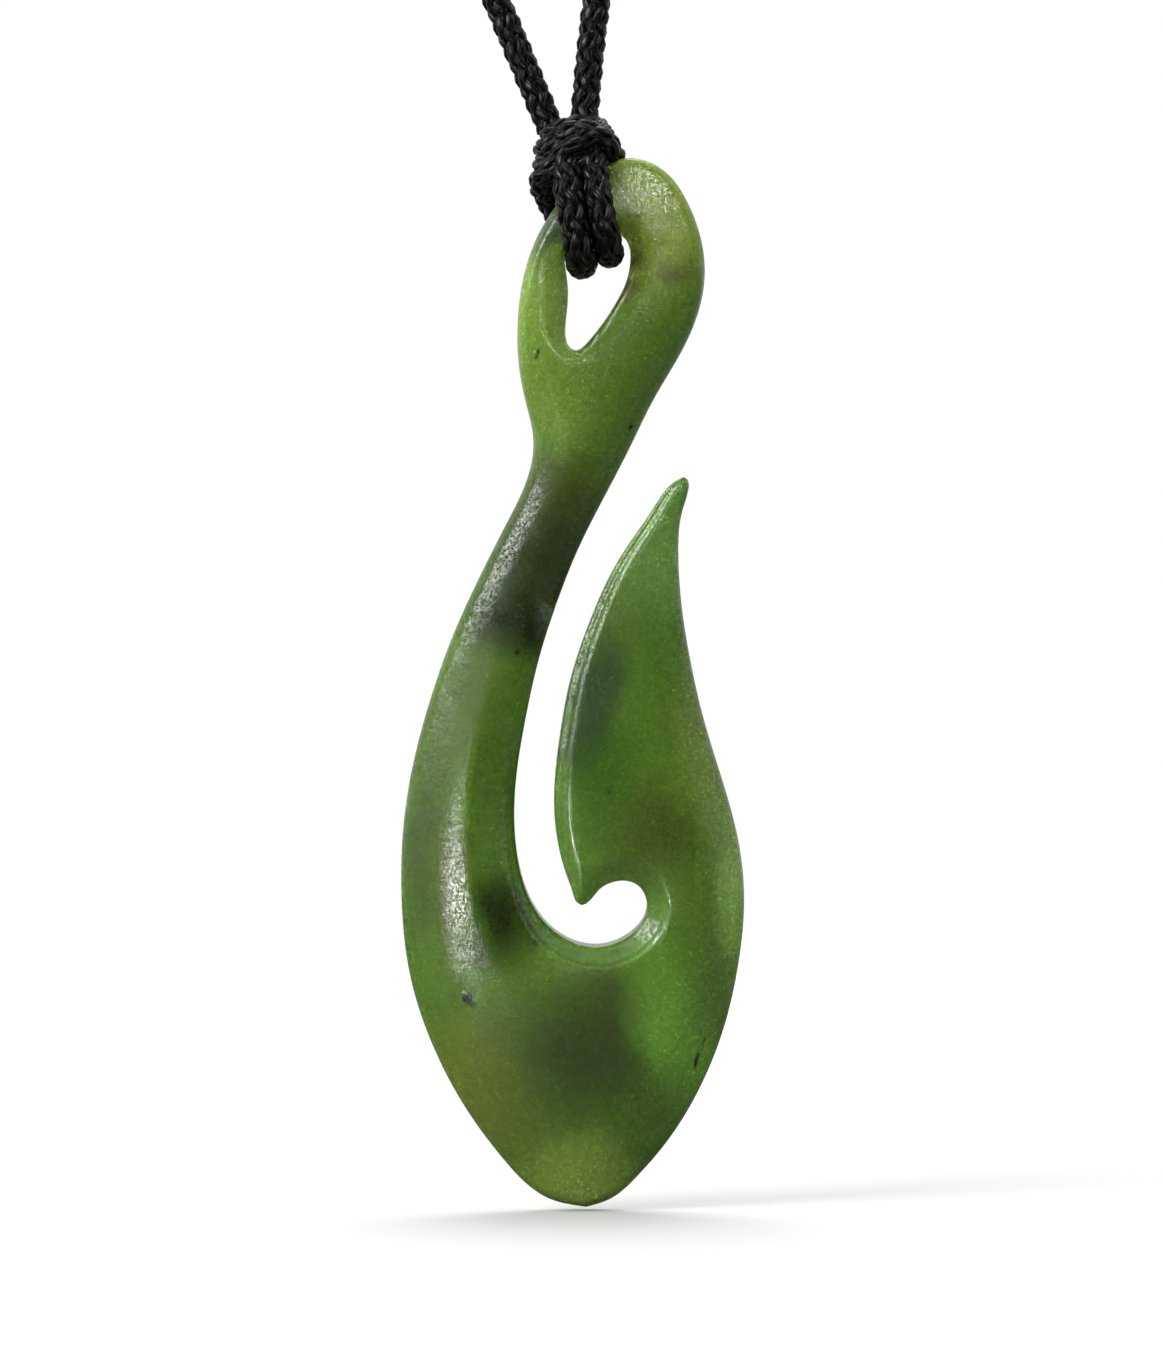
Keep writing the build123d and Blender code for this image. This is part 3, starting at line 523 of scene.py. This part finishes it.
def polished_nephrite():
    """Nephrite jade, ground to shape and satin polished: clouds of green and olive that the light goes a
    little way into, some patches of painted sheen, rim light, floor light and shade, black specks, and a
    waxy shine that grinding marks and pits break up into grain."""
    material, tree = new_material("polished_nephrite")
    place = node(tree, "ShaderNodeTexCoord").outputs["Object"]
    # Millimetres on the hook's own drawing, with Y from its middle plane
    spot = node(tree, "ShaderNodeMapping",
                {"Location": (0.0, -MIDDLE_PLANE, -HOOK_TIP), "Scale": (1 / MM, 1 / MM, 1 / MM)},
                {"Vector": place}).outputs[0]
    uneven = spot
    for size, amount in ((5.0, 1.6), (1.4, 0.6), (0.45, 0.3)):
        uneven = shifted(tree, uneven, size, amount)
    mottle = node(tree, "ShaderNodeTexNoise", {"Scale": 1 / 2.6, "Detail": 5.0, "Roughness": 0.6},
                  {"Vector": spot})
    spread = node(tree, "ShaderNodeMapRange", {"From Min": 0.3, "From Max": 0.7},
                  {"Value": mottle.outputs["Fac"]})
    colour = node(tree, "ShaderNodeMix", {"data_type": "RGBA", 6: srgb("527822"), 7: srgb("5E862C")},
                  {"Factor": spread.outputs["Result"]}).outputs[2]
    for x, z, wide, tall, lean, code, strength in CLOUDS_AND_PAINTED_LIGHT:
        wide, tall = PATCH_SPREAD * wide, PATCH_SPREAD * tall
        patch = blot(tree, uneven, x, z, wide, tall, lean, PATCH_FADE / strength)
        colour = node(tree, "ShaderNodeMix", {"data_type": "RGBA", 7: srgb(code)},
                      {"Factor": patch, 6: colour}).outputs[2]
    # Fibrous grain of the stone, in lighter and darker flecks of a third of a millimetre
    grain = node(tree, "ShaderNodeTexNoise", {"Scale": 1 / 0.35, "Detail": 4.0, "Roughness": 0.7},
                 {"Vector": spot})
    fleck = node(tree, "ShaderNodeMapRange",
                 {"From Min": 0.35, "From Max": 0.65, "To Min": 0.8, "To Max": 1.18},
                 {"Value": grain.outputs["Fac"]})
    colour = node(tree, "ShaderNodeVectorMath", {"operation": "SCALE"},
                  {0: colour, "Scale": fleck.outputs["Result"]}).outputs[0]
    # Pale crystals. Real ones are a few hundredths of a millimetre; these are 0.17 mm apart, to show at all
    dust = node(tree, "ShaderNodeTexNoise", {"Scale": 1 / 0.17, "Detail": 1.0}, {"Vector": spot})
    pale = node(tree, "ShaderNodeMapRange",
                {"From Min": 0.6, "From Max": 0.8, "To Min": 1.0, "To Max": 2.2},
                {"Value": dust.outputs["Fac"]})
    colour = node(tree, "ShaderNodeVectorMath", {"operation": "SCALE"},
                  {0: colour, "Scale": pale.outputs["Result"]}).outputs[0]
    ragged = shifted(tree, spot, 0.3, 0.22)
    dark = None
    for x, z, wide, tall, lean, strength in SPECKS:
        wide, tall = SPECK_SPREAD * wide, SPECK_SPREAD * tall
        speck = blot(tree, ragged, x, z, wide, tall, lean, SPECK_FADE / strength)
        dark = speck if dark is None else node(tree, "ShaderNodeMath", {"operation": "MAXIMUM"},
                                               {0: dark, 1: speck}).outputs[0]
    colour = node(tree, "ShaderNodeMix", {"data_type": "RGBA", 7: srgb("1E2019")},
                  {"Factor": dark, 6: colour}).outputs[2]
    # Grinding marks. The last grit leaves them 0.02 mm wide; these are ten times as wide, to show at all
    scratches = node(tree, "ShaderNodeTexNoise",
                     {"Scale": 1 / 0.2, "Detail": 3.0, "Roughness": 0.6, "Distortion": 0.6},
                     {"Vector": spot})
    # The slight unevenness that polishing by hand leaves
    ripple = node(tree, "ShaderNodeTexNoise", {"Scale": 1 / 1.1, "Detail": 2.0}, {"Vector": spot})
    soft = node(tree, "ShaderNodeBump", {"Strength": 0.35, "Distance": 0.1 * MM},
                {"Height": ripple.outputs["Fac"]})
    bump = node(tree, "ShaderNodeBump", {"Strength": 0.3, "Distance": 0.05 * MM},
                {"Height": scratches.outputs["Fac"], "Normal": soft.outputs[0]})
    rough = node(tree, "ShaderNodeMapRange",
                 {"From Min": 0.35, "From Max": 0.65, "To Min": 0.36, "To Max": 0.17},
                 {"Value": scratches.outputs["Fac"]})
    # In the pits the surface shines hardly at all
    pits = node(tree, "ShaderNodeMapRange",
                {"From Min": 0.35, "From Max": 0.65, "To Min": 0.0, "To Max": 0.9},
                {"Value": scratches.outputs["Fac"]})
    skin = node(tree, "ShaderNodeBsdfPrincipled",
                {"IOR": 1.61, "Subsurface Weight": 0.25, "Subsurface Scale": 1.2 * MM,
                 "Subsurface Radius": (0.6, 1.0, 0.25)},
                {"Base Color": colour, "Roughness": rough.outputs["Result"],
                 "Specular IOR Level": pits.outputs["Result"], "Normal": bump.outputs[0]})
    node(tree, "ShaderNodeOutputMaterial", {}, {"Surface": skin.outputs[0]})
    return material


def waxed_braid():
    """Black polyester cord, braided and waxed: near black and dull, with single filaments along each strand
    that catch the light as short bright lines."""
    material, tree = new_material("waxed_braid")
    along = node(tree, "ShaderNodeTexCoord").outputs["UV"]
    # Filaments, 13 round a strand. Real ones are 0.02 mm thick; these are 0.12 mm apart, to show at all
    lines = node(tree, "ShaderNodeMapping", {"Scale": (13.0, 1.5, 1.0)}, {"Vector": along})
    threads = node(tree, "ShaderNodeTexNoise", {"Scale": 1.0, "Detail": 2.0, "Roughness": 0.6},
                   {"Vector": lines.outputs[0]})
    bump = node(tree, "ShaderNodeBump", {"Strength": 0.9, "Distance": 0.09 * MM},
                {"Height": threads.outputs["Fac"]})
    glint = node(tree, "ShaderNodeMapRange",
                 {"From Min": 0.5, "From Max": 0.66, "To Min": 0.12, "To Max": 1.0},
                 {"Value": threads.outputs["Fac"]})
    # Wax, thicker in some places than in others
    wax = node(tree, "ShaderNodeTexNoise", {"Scale": 1.3, "Detail": 3.0}, {"Vector": along})
    rough = node(tree, "ShaderNodeMapRange",
                 {"From Min": 0.3, "From Max": 0.7, "To Min": 0.24, "To Max": 0.46},
                 {"Value": wax.outputs["Fac"]})
    tone = node(tree, "ShaderNodeMix", {"data_type": "RGBA", 6: srgb("030303"), 7: srgb("0C0C0C")},
                {"Factor": threads.outputs["Fac"]})
    skin = node(tree, "ShaderNodeBsdfPrincipled", {"IOR": 1.5},
                {"Base Color": tone.outputs[2], "Roughness": rough.outputs["Result"],
                 "Specular IOR Level": glint.outputs["Result"], "Normal": bump.outputs[0]})
    node(tree, "ShaderNodeOutputMaterial", {}, {"Surface": skin.outputs[0]})
    return material


def studio_floor():
    """White sweep of matt card. Its bounce is kept low, as if black flags stood in front of it."""
    material, tree = new_material("white_sweep")
    seen = node(tree, "ShaderNodeLightPath").outputs["Is Camera Ray"]
    shade = node(tree, "ShaderNodeMix", {"data_type": "RGBA", 6: srgb("6A6A6A"), 7: srgb("E8E8E8")},
                 {"Factor": seen})
    skin = node(tree, "ShaderNodeBsdfPrincipled", {"Roughness": 0.9, "Specular IOR Level": 0.0},
                {"Base Color": shade.outputs[2]})
    node(tree, "ShaderNodeOutputMaterial", {}, {"Surface": skin.outputs[0]})
    return material


# Braided cord, in millimetres. Twelve strands, six each way round, pass over and under one another.
CORD_RADIUS = 1.0
LOOP_RADII = {-1: 1.10, 1: 1.02}    # the turns through the eye are slack and swell, the left one more
LOOP_MIDDLE = -0.08         # from the middle of the eye to the middle of the two turns
LOOP_SPACING = 0.92         # from there to each turn
LOOP_DRIFT = (-1.1, -0.98, -0.62, 0.1, 0.0, -0.8, -1.5, -1.6)      # sideways from its seat, point by point
LOOP_DEPTHS = (1.3, 2.6)    # of a turn's ends and of the points below them, from the middle plane
LOOP_ENDS = (0.8, -1.3)     # heights of the same, from the middle of the knot
LOOP_ELBOW = 0.6            # where the legs bend, as a share of the way up to the foot of the knot
KNOT_FOOT = 1.6             # from the middle of the knot down to there
BRAID_STRANDS = 6           # each way round
BRAID_PITCH = 11.4          # length in which a strand goes once round
BRAID_START = 22.5          # degrees from the front at which the first strand starts
STRAND_WIDTH = 0.62
STRAND_THICKNESS = 0.36
STRAND_SWAY = 0.15          # how far a strand rises and dips as it passes over and under
STRAND_SIDES = 8
BRAID_STEP = 0.32           # spacing of a strand's rings

# Routes of the neck cords from the tie knot to the nape, as in the solid model.
LEFT_ROUTE = [
    (-1.75, -117.5, -157.3), (-5.9, -115.8, -147.4), (-12.6, -110.4, -131.8), (-23.0, -100.0, -111.3),
    (-34.5, -85.0, -89.3), (-46.0, -69.5, -67.3), (-55.0, -53.5, -46.3), (-59.0, -37.5, -28.3),
    (-55.5, -22.5, -15.3), (-45.0, -10.5, -6.8), (-30.5, -2.8, -2.0), (-15.5, 0.0, -0.2), (-3.6, 0.0, 0.0)]
RIGHT_ROUTE = [
    (0.45, -118.5, -157.3), (1.15, -117.0, -146.9), (5.2, -111.4, -131.1), (15.0, -100.4, -110.8),
    (28.2, -85.4, -89.8), (42.0, -69.7, -68.3), (53.3, -53.5, -46.8), (58.6, -37.5, -28.3),
    (55.5, -22.5, -15.3), (45.0, -10.5, -6.8), (30.5, -2.8, -2.0), (15.5, 0.0, -0.2), (3.6, 0.0, 0.0)]

# Turns of the tie knot, from its middle. Columns: X and Z of the middle, half the width and half the depth
# of the turn's centre line, degrees that it rises to the right. Pulled tight, its cord is thinner than
# elsewhere.
KNOT_RADIUS = 0.82
KNOT_TURNS = [(-0.45, 1.50, 1.35, 1.55, 18.0), (-0.33, 0.72, 1.95, 2.0, 20.0),
              (-0.15, -0.08, 2.2, 2.3, 22.0), (-0.05, -0.88, 2.35, 2.4, 23.0)]
# Crossing strands, from the knot's middle, with their thickness. The first comes over the right shoulder
# and goes down behind the head, the second crosses the front between the turns, the third is the low turn
# on the left that goes down behind.
KNOT_CROSSINGS = {
    "shoulder": (0.95, [(-1.0, -1.4, 0.9), (0.1, -2.2, 1.3), (1.1, -2.35, 1.1), (1.9, -1.9, 0.5),
                        (2.35, -1.0, -0.3), (2.4, 0.4, -0.9), (1.6, 1.6, -1.2)]),
    "front": (0.72, [(-1.5, -1.9, -0.7), (-0.6, -2.75, 0.1), (0.4, -2.9, 0.75), (1.3, -2.4, 1.15),
                     (1.9, -1.2, 1.0)]),
    "low_left": (0.95, [(-0.6, -2.3, -0.9), (-1.6, -2.3, -1.2), (-2.3, -1.4, -1.7), (-2.3, 0.0, -2.5),
                        (-1.85, 1.3, -3.2), (-1.4, 2.0, -4.2)])}

# Wrap of the same cord that closes the loop at the nape: its turns lie side by side round the two ends.
WRAP_TURNS = 4
WRAP_RADIUS = 1.5           # of the centre line
WRAP_LENGTH = 6.6           # between the middles of its ends


def smooth_run(route):
    """Points along the smooth curve that a route's points pull, as its NURBS spline gives them."""
    curve = bpy.data.curves.new("route", "CURVE")
    curve.dimensions = "3D"
    curve.resolution_u = 48
    spline = curve.splines.new("NURBS")
    spline.points.add(len(route) - 1)
    for point, (x, y, z) in zip(spline.points, route):
        point.co = (x * MM, y * MM, z * MM, 1.0)
    spline.order_u = 3
    spline.use_endpoint_u = True
    holder = bpy.data.objects.new("route", curve)
    mesh = bpy.data.meshes.new_from_object(holder)
    line = np.array([tuple(v.co) for v in mesh.vertices]) / MM
    bpy.data.objects.remove(holder)
    bpy.data.meshes.remove(mesh)
    bpy.data.curves.remove(curve)
    return line


def evenly(line, count):
    """A number of points at even spacing along a line, and its length."""
    run = np.concatenate([[0.0], np.cumsum(np.linalg.norm(np.diff(line, axis=0), axis=1))])
    stops = np.linspace(0.0, run[-1], count)
    return np.column_stack([np.interp(stops, run, line[:, i]) for i in range(3)]), run[-1]


def unit(vectors):
    return vectors / np.linalg.norm(vectors, axis=-1, keepdims=True)


def directions(line, closed):
    """Along the line at each point, and two directions across it that don't twist. The first starts towards
    the front, or upwards where the line itself starts that way."""
    if closed:
        along = unit(np.roll(line, -1, axis=0) - np.roll(line, 1, axis=0))
    else:
        along = unit(np.gradient(line, axis=0))
    front = np.empty_like(line)
    aim = np.array([0.0, -1.0, 0.0])
    if abs(along[0] @ aim) > 0.9:
        aim = np.array([0.0, 0.0, 1.0])
    for i, tangent in enumerate(along):
        aim = aim - (aim @ tangent) * tangent
        aim = aim / math.sqrt(aim @ aim)
        front[i] = aim
    return along, front, np.cross(along, front)


def braid(name, line, material, closed=False, radius=CORD_RADIUS):
    """Braided strands along a line, as one mesh whose UV runs round and along each strand."""
    length = evenly(line, 2)[1]
    turns = length / BRAID_PITCH
    if closed:
        turns = round(BRAID_STRANDS * turns) / BRAID_STRANDS
    count = round(length / BRAID_STEP)
    spots, _ = evenly(line, count + 1)
    share = np.arange(count + 1) / count
    if closed:
        spots, share = spots[:-1], share[:-1]
    rows = len(spots)
    along, front, across = directions(spots, closed)
    if closed:
        # The frame that isn't twisted may come back turned; that turn is spread evenly.
        back = math.atan2(front[0] @ np.cross(along[-1], front[-1]), front[0] @ front[-1])
    size = radius / CORD_RADIUS
    middle = (CORD_RADIUS - STRAND_THICKNESS / 2 - STRAND_SWAY) * size
    rings = np.linspace(0.0, 2 * math.pi, STRAND_SIDES, endpoint=False)
    k = np.arange(STRAND_SIDES)
    m = (k + 1) % STRAND_SIDES
    vertices, faces, threads = [], [], []
    for way in (1, -1):
        for strand in range(BRAID_STRANDS):
            spin = way * 2 * math.pi * turns * share + 2 * math.pi * strand / BRAID_STRANDS
            rise = middle + way * STRAND_SWAY * size * np.cos(2 * BRAID_STRANDS * math.pi * turns * share)
            angle = spin + math.radians(BRAID_START) + (back * share if closed else 0.0)
            outward = np.cos(angle)[:, None] * front + np.sin(angle)[:, None] * across
            centre = spots + outward * rise[:, None]
            if closed:
                heading = unit(np.roll(centre, -1, axis=0) - np.roll(centre, 1, axis=0))
            else:
                heading = unit(np.gradient(centre, axis=0))
            sideways = unit(np.cross(heading, outward))
            upward = np.cross(sideways, heading)
            shell = (centre[:, None, :]
                     + sideways[:, None, :] * (np.cos(rings) * STRAND_WIDTH / 2 * size)[None, :, None]
                     + upward[:, None, :] * (np.sin(rings) * STRAND_THICKNESS / 2 * size)[None, :, None])
            base = len(vertices) * rows * STRAND_SIDES
            vertices.append(shell.reshape(-1, 3))
            here = np.arange(rows if closed else rows - 1)[:, None] * STRAND_SIDES
            there = (here + STRAND_SIDES) % (rows * STRAND_SIDES)
            sides = base + np.stack([here + k, here + m, there + m, there + k], axis=2)
            faces += sides.reshape(-1, 4).tolist()
            low, high = k / STRAND_SIDES + len(vertices), (k + 1) / STRAND_SIDES + len(vertices)
            run = np.broadcast_to(here / STRAND_SIDES * length / count, (len(here), STRAND_SIDES))
            later = run + length / count
            lengthways = np.stack([run, run, later, later], axis=2)
            around = np.broadcast_to(np.stack([low, high, high, low], axis=1), lengthways.shape)
            threads.append(np.stack([around, lengthways], axis=3).reshape(-1, 2))
            if not closed:
                faces.append([int(base + i) for i in reversed(k)])
                faces.append([int(base + (rows - 1) * STRAND_SIDES + i) for i in k])
                threads.append(np.zeros((2 * STRAND_SIDES, 2)))
    return new_piece(name, np.vstack(vertices), faces, material, "cord", np.vstack(threads))


def eye_loop(side, material):
    """One turn of cord: from inside the knot down the front, through the eye and up behind."""
    low, high = (left_loop_low, left_loop_high) if side < 0 else (right_loop_low, right_loop_high)
    across = HOOK_LEFT + EYE_ACROSS * HOOK_WIDTH + EYE_WIDTH / 2 + LOOP_MIDDLE + side * LOOP_SPACING
    seat = low.z + CORD_RADIUS
    front = low.y + CORD_RADIUS
    back = high.y - CORD_RADIUS
    knot = (knot_low.z + knot_high.z) / 2
    elbow = seat + LOOP_ELBOW * (knot - KNOT_FOOT - seat)
    inner, outer = LOOP_DEPTHS
    top, foot = knot + LOOP_ENDS[0], knot + LOOP_ENDS[1]
    depths = (MIDDLE_PLANE - inner, MIDDLE_PLANE - outer, front, front,
              back, back, MIDDLE_PLANE + outer, MIDDLE_PLANE + inner)
    heights = (top, foot, elbow, seat, seat, elbow, foot, top)
    route = [(across + drift, y, z) for drift, y, z in zip(LOOP_DRIFT, depths, heights)]
    name = "eye_loop_left" if side < 0 else "eye_loop_right"
    piece = braid(name + "_braid", smooth_run(route), material, radius=LOOP_RADII[side])
    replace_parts(piece, name)


def tie_knot(material):
    """The knot: four tilted turns and three crossing strands, each a piece of its own."""
    middle = np.array([0.0, MIDDLE_PLANE, (knot_low.z + knot_high.z) / 2])
    strands = []
    around = np.linspace(0.0, 2 * math.pi, 241)
    for i, (x, z, wide, deep, tilt) in enumerate(KNOT_TURNS):
        slope = math.radians(tilt)
        flat = wide * np.cos(around)
        ring = middle + np.column_stack(
            [x + flat * math.cos(slope), deep * np.sin(around), z + flat * math.sin(slope)])
        strands.append(braid(f"tie_knot_turn_{i}", ring, material, closed=True, radius=KNOT_RADIUS))
    for label, (radius, route) in KNOT_CROSSINGS.items():
        line = smooth_run([tuple(middle + np.array(spot)) for spot in route])
        strands.append(braid(f"tie_knot_{label}", line, material, radius=radius))
    for strand in strands:
        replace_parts(strand, "tie_knot")


def closing_wrap(material):
    """The closure at the nape: the cord wound round both ends, turn beside turn."""
    share = np.linspace(0.0, 1.0, 60 * WRAP_TURNS + 1)
    around = 2 * math.pi * WRAP_TURNS * share
    line = np.column_stack(
        [WRAP_LENGTH * (share - 0.5), WRAP_RADIUS * np.cos(around), WRAP_RADIUS * np.sin(around)])
    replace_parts(braid("closing_knot_wrap", line, material), "closing_knot")


def neck_cords(material):
    for name, route in (("neck_cord_left", LEFT_ROUTE), ("neck_cord_right", RIGHT_ROUTE)):
        piece = braid(name + "_braid", smooth_run(route), material)
        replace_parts(piece, name)


# Studio: a floor just under the tip, a white surround, and the lights listed at the end
FLOOR_GAP = 0.25            # millimetres under the tip
FLOOR_SIDE = 0.5            # metres from the stone to each side
FLOOR_FRONT = 0.15
FLOOR_BACK = 0.25


def make_floor():
    level = (HOOK_TIP - FLOOR_GAP) * MM
    front, back = MIDDLE_PLANE * MM - FLOOR_FRONT, MIDDLE_PLANE * MM + FLOOR_BACK
    mesh = bpy.data.meshes.new("floor")
    corners = [(-FLOOR_SIDE, front, level), (FLOOR_SIDE, front, level),
               (FLOOR_SIDE, back, level), (-FLOOR_SIDE, back, level)]
    mesh.from_pydata(corners, [], [(0, 1, 2, 3)])
    mesh.materials.append(studio_floor())
    floor = bpy.data.objects.new("floor", mesh)
    bpy.context.scene.collection.objects.link(floor)


def make_world():
    """White to the camera, and dimmer in front of the stone than behind it, as in a dark studio."""
    world = bpy.data.worlds.new("studio")
    bpy.context.scene.world = world
    world.use_nodes = True
    tree = world.node_tree
    tree.nodes.clear()
    direction = node(tree, "ShaderNodeTexCoord").outputs["Generated"]
    axes = node(tree, "ShaderNodeSeparateXYZ", {}, {"Vector": direction})
    # Dim within about 40 degrees of the camera's side, at full strength from about 65 degrees on
    backness = node(tree, "ShaderNodeMapRange",
                    {"From Min": -0.78, "From Max": -0.4, "To Min": 0.02, "To Max": 0.8},
                    {"Value": axes.outputs["Y"]})
    seen = node(tree, "ShaderNodeLightPath").outputs["Is Camera Ray"]
    strength = node(tree, "ShaderNodeMix", {"data_type": "FLOAT", "B": 1.0},
                    {"Factor": seen, "A": backness.outputs["Result"]})
    light = node(tree, "ShaderNodeBackground", {"Color": srgb("FFFFFF")}, {"Strength": strength.outputs[0]})
    node(tree, "ShaderNodeOutputWorld", {}, {"Surface": light.outputs[0]})


def softbox(name, right, rise, distance, size, power, height=HOOK_HEIGHT / 2, spread=180.0):
    """A rectangular light aimed at a height on the stone, by its degrees to the right and above level and
    its distance in metres. A spread below 180 degrees is that of a honeycomb grid in front of it."""
    target = Vector((0.0, MIDDLE_PLANE, HOOK_TIP + height)) * MM
    right, rise = math.radians(right), math.radians(rise)
    level = math.cos(rise)
    direction = Vector((math.sin(right) * level, -math.cos(right) * level, math.sin(rise)))
    data = bpy.data.lights.new(name, "AREA")
    data.shape = "RECTANGLE"
    data.size, data.size_y = size
    data.energy = power
    data.spread = math.radians(spread)
    lamp = bpy.data.objects.new(name, data)
    lamp.location = target + direction * distance
    lamp.rotation_mode = "QUATERNION"
    lamp.rotation_quaternion = (target - lamp.location).to_track_quat("-Z", "Y")
    lamp.visible_camera = False
    bpy.context.scene.collection.objects.link(lamp)


CAMERA_DISTANCE = 0.75      # metres
CAMERA_RISE = 2.5           # degrees above level
FRAME_HEIGHT = 90.13        # millimetres that the picture takes in at the stone
FRAME_MIDDLE = (0.3, 35.47)  # middle of the picture, from the middle of the knot and the tip of the hook
SENSOR = 36.0               # millimetres across


def make_camera():
    aim = Vector((FRAME_MIDDLE[0], MIDDLE_PLANE, HOOK_TIP + FRAME_MIDDLE[1])) * MM
    rise = math.radians(CAMERA_RISE)
    data = bpy.data.cameras.new("camera")
    data.sensor_width = SENSOR
    data.lens = SENSOR * CAMERA_DISTANCE / (FRAME_HEIGHT * MM)
    data.clip_start = 0.05
    data.clip_end = 60.0
    camera = bpy.data.objects.new("camera", data)
    camera.location = aim + Vector((0.0, -math.cos(rise), math.sin(rise))) * CAMERA_DISTANCE
    camera.rotation_mode = "QUATERNION"
    camera.rotation_quaternion = (aim - camera.location).to_track_quat("-Z", "Y")
    bpy.context.scene.collection.objects.link(camera)
    bpy.context.scene.camera = camera


bpy.context.scene.view_settings.view_transform = "Standard"
make_camera()
make_world()
make_floor()
# The long broken highlight beside the bend
softbox("left_front", -27.5, -3.5, 0.28, (0.048, 0.032), 0.0015, height=21.0, spread=10.0)
# The main light, with the broad sheen on the neck
softbox("left_top", -53.0, 31.0, 0.8, (0.42, 0.42), 3.9)
# The sheen on the head
softbox("right_top", 4.0, 12.0, 0.25, (0.05, 0.035), 0.0008, height=66.5, spread=12.0)
# The bright ridge under the curl
softbox("bend_front", -15.0, 17.0, 0.28, (0.03, 0.03), 0.0002, height=16.0, spread=4.0)
# Light along the rims and through the stone, and the shadow that falls forwards
softbox("back_top", 180.0, 62.0, 1.0, (0.8, 0.8), 6.0)

hook_mesh(polished_nephrite())
black_cord = waxed_braid()
neck_cords(black_cord)
for side in (-1, 1):
    eye_loop(side, black_cord)
tie_knot(black_cord)
closing_wrap(black_cord)
